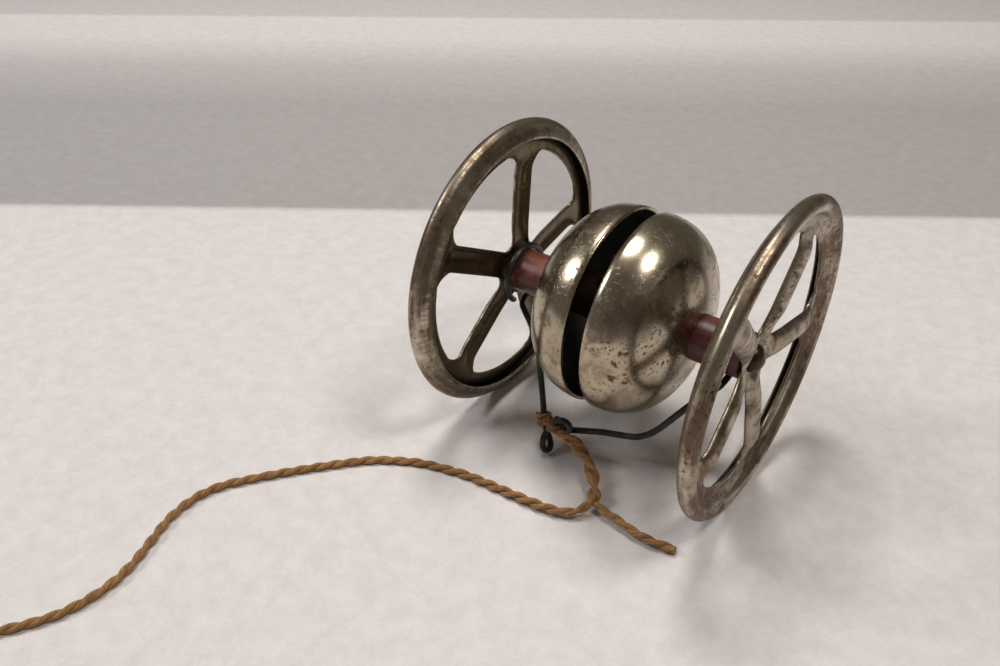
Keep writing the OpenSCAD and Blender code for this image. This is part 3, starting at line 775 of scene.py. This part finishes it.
def makeGong(name, node, side):
    low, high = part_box(node)
    radius, depth = (high.z - low.z) / 2, high.x - low.x
    axleR = (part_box("axle")[1].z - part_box("axle")[0].z) / 2
    hole, wall, soft = axleR + 0.05 * mm, gongSpec["wall"], gongSpec["rimRound"]
    outer = domeSteps(radius, depth + 0.15 * mm, hole, gongSpec["fullness"], gongSpec["rings"])
    inner = domeSteps(radius - wall, depth - wall, hole, gongSpec["fullness"], gongSpec["rings"])
    outer = [(r, z + soft * (1 if i == 0 else 0)) for i, (r, z) in enumerate(outer)]
    inner = [(r, z + soft * (1 if i == 0 else 0)) for i, (r, z) in enumerate(inner)]
    rim = [(radius - soft, 0), (radius - wall + soft, 0)]
    steps = list(reversed(outer)) + rim + inner
    gong = turnedPiece(name, steps, gongSpec["segments"], closed=False)
    bpy.ops.object.mode_set(mode="EDIT")
    bpy.ops.mesh.select_all(action="DESELECT")
    bpy.ops.mesh.select_non_manifold()
    bpy.ops.mesh.bridge_edge_loops()
    bpy.ops.mesh.select_all(action="SELECT")
    bpy.ops.mesh.normals_make_consistent(inside=False)
    bpy.ops.object.mode_set(mode="OBJECT")
    paint(gong, gongNickel, gongInside)
    for face in gong.data.polygons:
        inward = face.normal.xy.dot(face.center.xy) < 0 or face.normal.z < -0.9
        face.material_index = 1 if inward and face.center.z > soft * 0.5 else 0
    mouthX = low.x if side > 0 else high.x
    alongAxle(gong, side, mouthX)
    shadeRound(gong, 50)
    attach(gong, "roller")
    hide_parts(node)


makeGong("gongLeft", "left_gong", -1)
makeGong("gongRight", "right_gong", 1)
print("gongs made")


axleSpec = {"segments": 72, "rings": 90, "chamfer": 0.6 * mm, "wear": 0.06 * mm}


def makeAxle():
    low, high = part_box("axle")
    half, radius, chamfer = high.x, (high.z - low.z) / 2, axleSpec["chamfer"]
    steps = [(1.45 * mm, -half), (radius - chamfer, -half), (radius, chamfer - half)]
    for k in range(1, axleSpec["rings"]):
        steps.append((radius, chamfer - half + 2 * (half - chamfer) * k / axleSpec["rings"]))
    steps += [(radius, half - chamfer), (radius - chamfer, half), (1.45 * mm, half)]
    axle = turnedPiece("axleRod", steps, axleSpec["segments"])
    rng = random.Random(4)
    waves = [(rng.uniform(60, 900), rng.uniform(0, 6.3), rng.uniform(0.2, 1)) for _ in range(7)]
    for v in axle.data.vertices:
        r = v.co.xy.length
        if r > radius * 0.85:
            wear = sum(w * math.sin(f * v.co.z + p) for f, p, w in waves) / 7
            wear += 0.4 * math.sin(3 * math.atan2(v.co.y, v.co.x) + 120 * v.co.z)
            s = 1 - axleSpec["wear"] * (0.5 + 0.5 * wear) / radius
            v.co.x *= s
            v.co.y *= s
    alongAxle(axle, 1, 0)
    shadeRound(axle, 35)
    paint(axle, redWood)
    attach(axle, "roller")
    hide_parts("axle")


nailSpec = {"headH": 3.8 * mm, "headRings": 9, "segments": 40, "shankR": 1.3 * mm, "point": 2 * mm}


def makeNail(name, node, side):
    low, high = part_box(node)
    headR, length = (high.z - low.z) / 2, high.x - low.x
    headH, shankR = nailSpec["headH"], nailSpec["shankR"]
    steps = [(0.3 * mm, headH - length), (shankR, headH - length + nailSpec["point"]), (shankR, -0.15 * mm),
             (headR - 0.5 * mm, 0.0), (headR, 0.25 * mm)]
    last = math.radians(84)
    for k in range(1, nailSpec["headRings"] + 1):
        a = last * k / nailSpec["headRings"]
        steps.append((headR * math.cos(a), 0.25 * mm + (headH - 0.25 * mm) * math.sin(a) / math.sin(last)))
    nail = turnedPiece(name, steps, nailSpec["segments"])
    for v in nail.data.vertices:  # the head is hammered a little flat on one side
        if v.co.z > 0.5 * mm:
            v.co.z -= 0.35 * mm * smoothStep(0.0, 1.0, (v.co.x + 0.6 * v.co.y) / headR) * (v.co.z / headH)
    base = (high.x if side > 0 else -low.x) - headH
    alongAxle(nail, side, side * base)
    shadeRound(nail, 45)
    paint(nail, nailIron)
    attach(nail, "roller")
    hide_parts(node)


makeAxle()
makeNail("nailLeft", "left_hub_nail", -1)
makeNail("nailRight", "right_hub_nail", 1)
print("axle and nails made")


# each arm starts as its own rod in the frame, which is merged, rounded off and given a drawn wire's surface
def makeWire(name, node):
    deselectAll()
    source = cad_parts[node]
    wire = bpy.data.objects.new(name, source.data.copy())
    bpy.context.scene.collection.objects.link(wire)
    takeUp(wire)
    bpy.ops.object.mode_set(mode="EDIT")
    bpy.ops.mesh.select_all(action="SELECT")
    bpy.ops.mesh.remove_doubles(threshold=2e-6)
    bpy.ops.mesh.tris_convert_to_quads(face_threshold=1.2, shape_threshold=1.2)
    bpy.ops.mesh.normals_make_consistent(inside=False)
    bpy.ops.transform.shrink_fatten(value=0.05 * mm)
    bpy.ops.object.mode_set(mode="OBJECT")
    soft = wire.modifiers.new("soft", "SUBSURF")
    soft.levels = soft.render_levels = 2
    applyModifiers(wire)
    takeUp(wire)
    bpy.ops.object.shade_smooth()
    paint(wire, blackWire)
    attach(wire, "pull_arms")
    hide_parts(node)


makeWire("wireLeft", "left_pull_wire")
makeWire("wireRight", "right_pull_wire")
print("wires made")


lashSpec = {"plyRadius": 0.56 * mm, "plyOff": 0.42 * mm, "layLength": 6.5 * mm}


def windings(middle, axis, turns, radius, height, phase):
    axis = Vector(axis).normalized()
    s1 = axis.orthogonal().normalized()
    s2 = axis.cross(s1)
    points = []
    for t in np.linspace(0, 1, int(26 * turns)):
        a = phase + 2 * math.pi * turns * t
        r = radius * (1 + 0.07 * math.sin(3.3 * a))
        along = height * (t - 0.5 + 0.06 * math.sin(2 * a))
        points.append(middle + r * (math.cos(a) * s1 + math.sin(a) * s2) + axis * along)
    return [tuple(p) for p in points]


def makeLashing(name, node, axis, extra, turns=2.6, phase=0.0, radius=2.0 * mm, height=3.6 * mm):
    middle = middleOf(node)
    route = windings(middle, axis, turns, radius, height, phase)
    line = evenLine(smoothLine(route, 0.3 * mm), 0.3 * mm)
    lines, sides, radii = twistedPlies(line, lashSpec)
    for over in extra:
        more = evenLine(smoothLine([tuple(middle + Vector(p) * mm) for p in over], 0.3 * mm), 0.3 * mm)
        l2, s2, r2 = twistedPlies(more, lashSpec, phase=1.0)
        lines, sides, radii = lines + l2, sides + s2, radii + r2
    lashing = sweptTubes(name, lines, radii, 8, sides)
    paint(lashing, knotTwine)
    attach(lashing, "pull_arms")
    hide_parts(node)


makeLashing("lashingLeft", "left_lashing", (0.45, -0.4, -0.8),
            [[(2.2, -1.2, 2.2), (2.0, -2.0, 0.4), (0.4, -2.5, -1.0), (-1.6, -1.4, -1.8)]])
makeLashing("lashingRight", "right_lashing", (0.3, 0.1, 1.0),
            [[(-1.6, -0.4, 1.6), (-1.6, -1.8, 0.4), (0.0, -2.2, -0.8), (2.0, -1.2, -1.4)]],
            2.2, 0.8, 1.8 * mm, 2.6 * mm)

leftKnot, rightKnot = middleOf("left_lashing"), middleOf("right_lashing")
linkRoute = [tuple(leftKnot + Vector((1.2, -1.9, 1.0)) * mm),
             tuple((leftKnot + rightKnot) / 2 + Vector((0.3, -1.8, -0.2)) * mm),
             tuple(rightKnot + Vector((-1.6, -1.6, -1.2)) * mm)]
linkLine = evenLine(smoothLine(linkRoute, 0.3 * mm), 0.3 * mm)
linkLines, linkSides, linkRadii = twistedPlies(linkLine, lashSpec)
link = sweptTubes("lashingLink", linkLines, linkRadii, 8, linkSides)
paint(link, knotTwine)
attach(link, "pull_arms")
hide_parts("lashing_link")
print("lashings made")


innerFinishes = {"striker_collar": bareWood, "collar_brad": darkIron,
                 "left_star_plate": darkIron, "right_star_plate": darkIron}
for i in (1, 2, 3):
    for part in ("star_rivet_", "striker_arm_", "striker_head_"):
        innerFinishes[part + str(i)] = darkIron
for node, finish in innerFinishes.items():
    paint(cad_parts[node], finish)


stageSpec = {"cornerLeft": (-0.3455, -0.0477), "cornerRight": (0.0748, 0.2547), "size": 6.0, "reach": 0.8,
             "wallShadeAndHighlight": [(0.002, 1.0), (0.008, 0.56), (0.20, 0.60), (0.30, 0.78),
                       (0.39, 1.12), (0.470, 1.2), (0.478, 0.98)]}


# a pale worktop, with a greyer strip across it behind the toy, painted shade standing in for an upright
# wall, then a brighter band, a painted highlight for the wall's rounded top, and pale again at its far side
def makeStage():
    left, right = Vector((*stageSpec["cornerLeft"], 0)), Vector((*stageSpec["cornerRight"], 0))
    run = (right - left).normalized()
    back = Vector((-run.y, run.x, 0))
    n = Nodes("counter")
    speckle = n.ramp(n.noise(900, 4, 0.7), (0.35, 0.0), (0.7, 1.0))
    drift = n.noise(140, 5, 0.7, distortion=0.3)
    shade = n.mix(n.ramp(drift, (0.36, 0.0), (0.64, 1.0)), (0.85, 0.82, 0.815), (0.765, 0.73, 0.72))
    shade = n.mix(n.maths("MULTIPLY", speckle, 0.18), shade, (0.52, 0.50, 0.485))
    part = n.add("SeparateXYZ", {"Vector": n.place}).outputs
    behind = n.maths("ADD", n.maths("MULTIPLY", part["X"], back.x), n.maths("MULTIPLY", part["Y"], back.y))
    behind = n.maths("DIVIDE", n.maths("SUBTRACT", behind, left.dot(back)), stageSpec["reach"])
    # the strip behind the toy: painted wall shade, then a painted highlight brighter than the worktop, then
    # pale again
    n.set("Base Color", n.mix(1.0, shade, n.ramp(behind, *stageSpec["wallShadeAndHighlight"]), blend="MULTIPLY"))
    n.set("Roughness", 0.55)
    n.set("Specular IOR Level", 0.3)
    deselectAll()
    bpy.ops.mesh.primitive_grid_add(x_subdivisions=12, y_subdivisions=12, size=stageSpec["size"],
                                    location=(0, 0, 0))
    counter = named("counter")
    paint(counter, n.material)


makeStage()

lightSpec = {
    "ceiling": {"place": (-0.30, 0.22, 1.15), "size": 0.36, "power": 5.9, "colour": (1.0, 0.965, 0.93)},
    "second": {"place": (0.42, 0.10, 1.1), "size": 0.30, "power": 4.1, "colour": (1.0, 0.94, 0.87)},
    "window": {"place": (-0.9, -0.55, 0.9), "size": 0.40, "power": 5.2, "colour": (0.98, 0.98, 1.0)},
}


def makeLights():
    target = middleOf("axle")
    for name, spec in lightSpec.items():
        data = bpy.data.lights.new(name, "AREA")
        data.shape = "DISK"
        data.size, data.energy, data.color = spec["size"], spec["power"], spec["colour"]
        light = bpy.data.objects.new(name, data)
        light.location = spec["place"]
        light.rotation_mode = "QUATERNION"
        light.rotation_quaternion = (target - Vector(spec["place"])).to_track_quat("-Z", "Y")
        bpy.context.scene.collection.objects.link(light)
    world = bpy.data.worlds.new("room")
    bpy.context.scene.world = world
    world.use_nodes = True
    world.node_tree.nodes["Background"].inputs["Color"].default_value = (0.62, 0.54, 0.46, 1)
    world.node_tree.nodes["Background"].inputs["Strength"].default_value = 0.17


makeLights()
bpy.context.scene.view_settings.view_transform = "Standard"
print("stage made")
